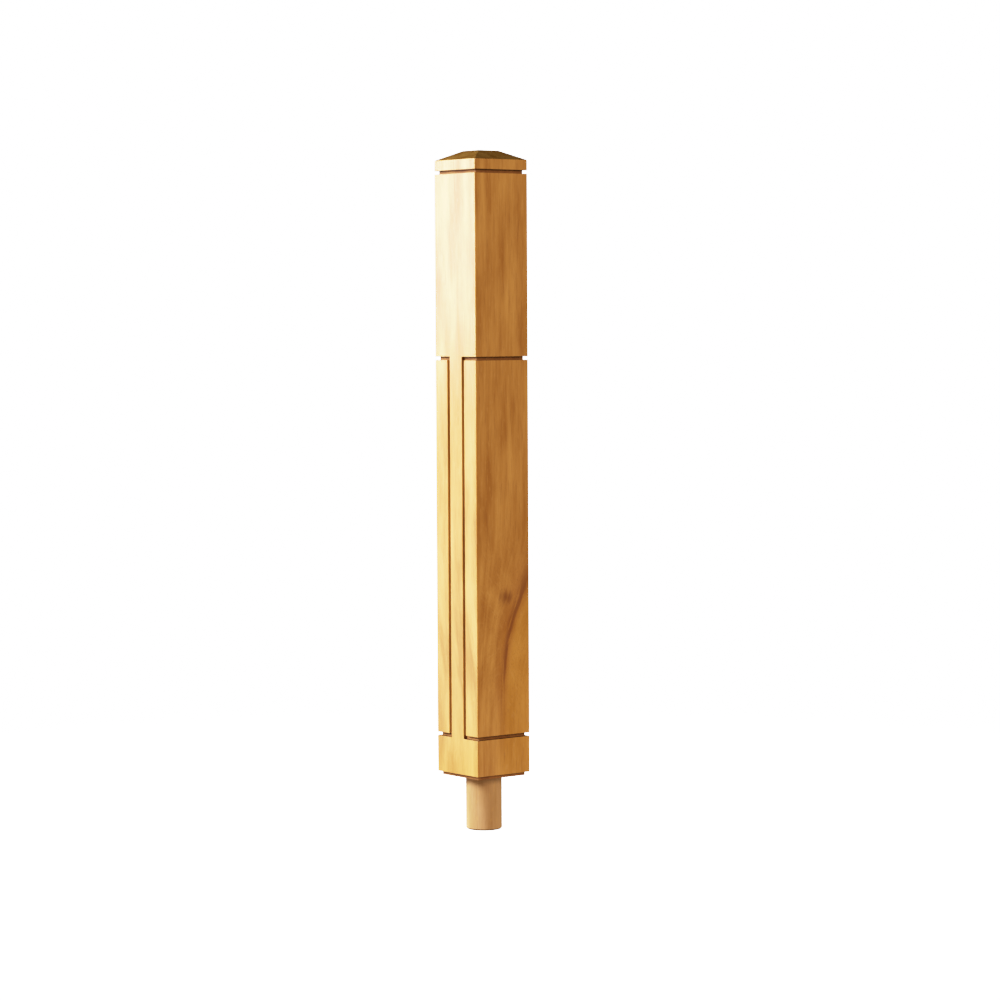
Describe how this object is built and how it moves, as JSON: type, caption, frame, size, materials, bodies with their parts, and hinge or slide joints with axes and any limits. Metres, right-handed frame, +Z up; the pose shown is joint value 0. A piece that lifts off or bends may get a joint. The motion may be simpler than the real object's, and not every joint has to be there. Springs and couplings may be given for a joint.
{
  "type": "newel post",
  "caption": "Square timber newel post with a low hipped cap, a plain block for the handrail, grooved panel faces and a round spigot that drops into a base.",
  "frame": {"origin": "centre of the spigot's lower end, which is the lowest point of the post", "axes": "+Z up along the post, +X and -X out of the grooved faces, +Y and -Y out of the plain faces"},
  "size_m": [0.091, 0.091, 0.937],
  "materials": {
    "oak": "clear satin lacquer on planed oak, bare on the spigot"
  },
  "bodies": {
    "root": {"newel_post": "oak"}
  },
  "joints": []
}
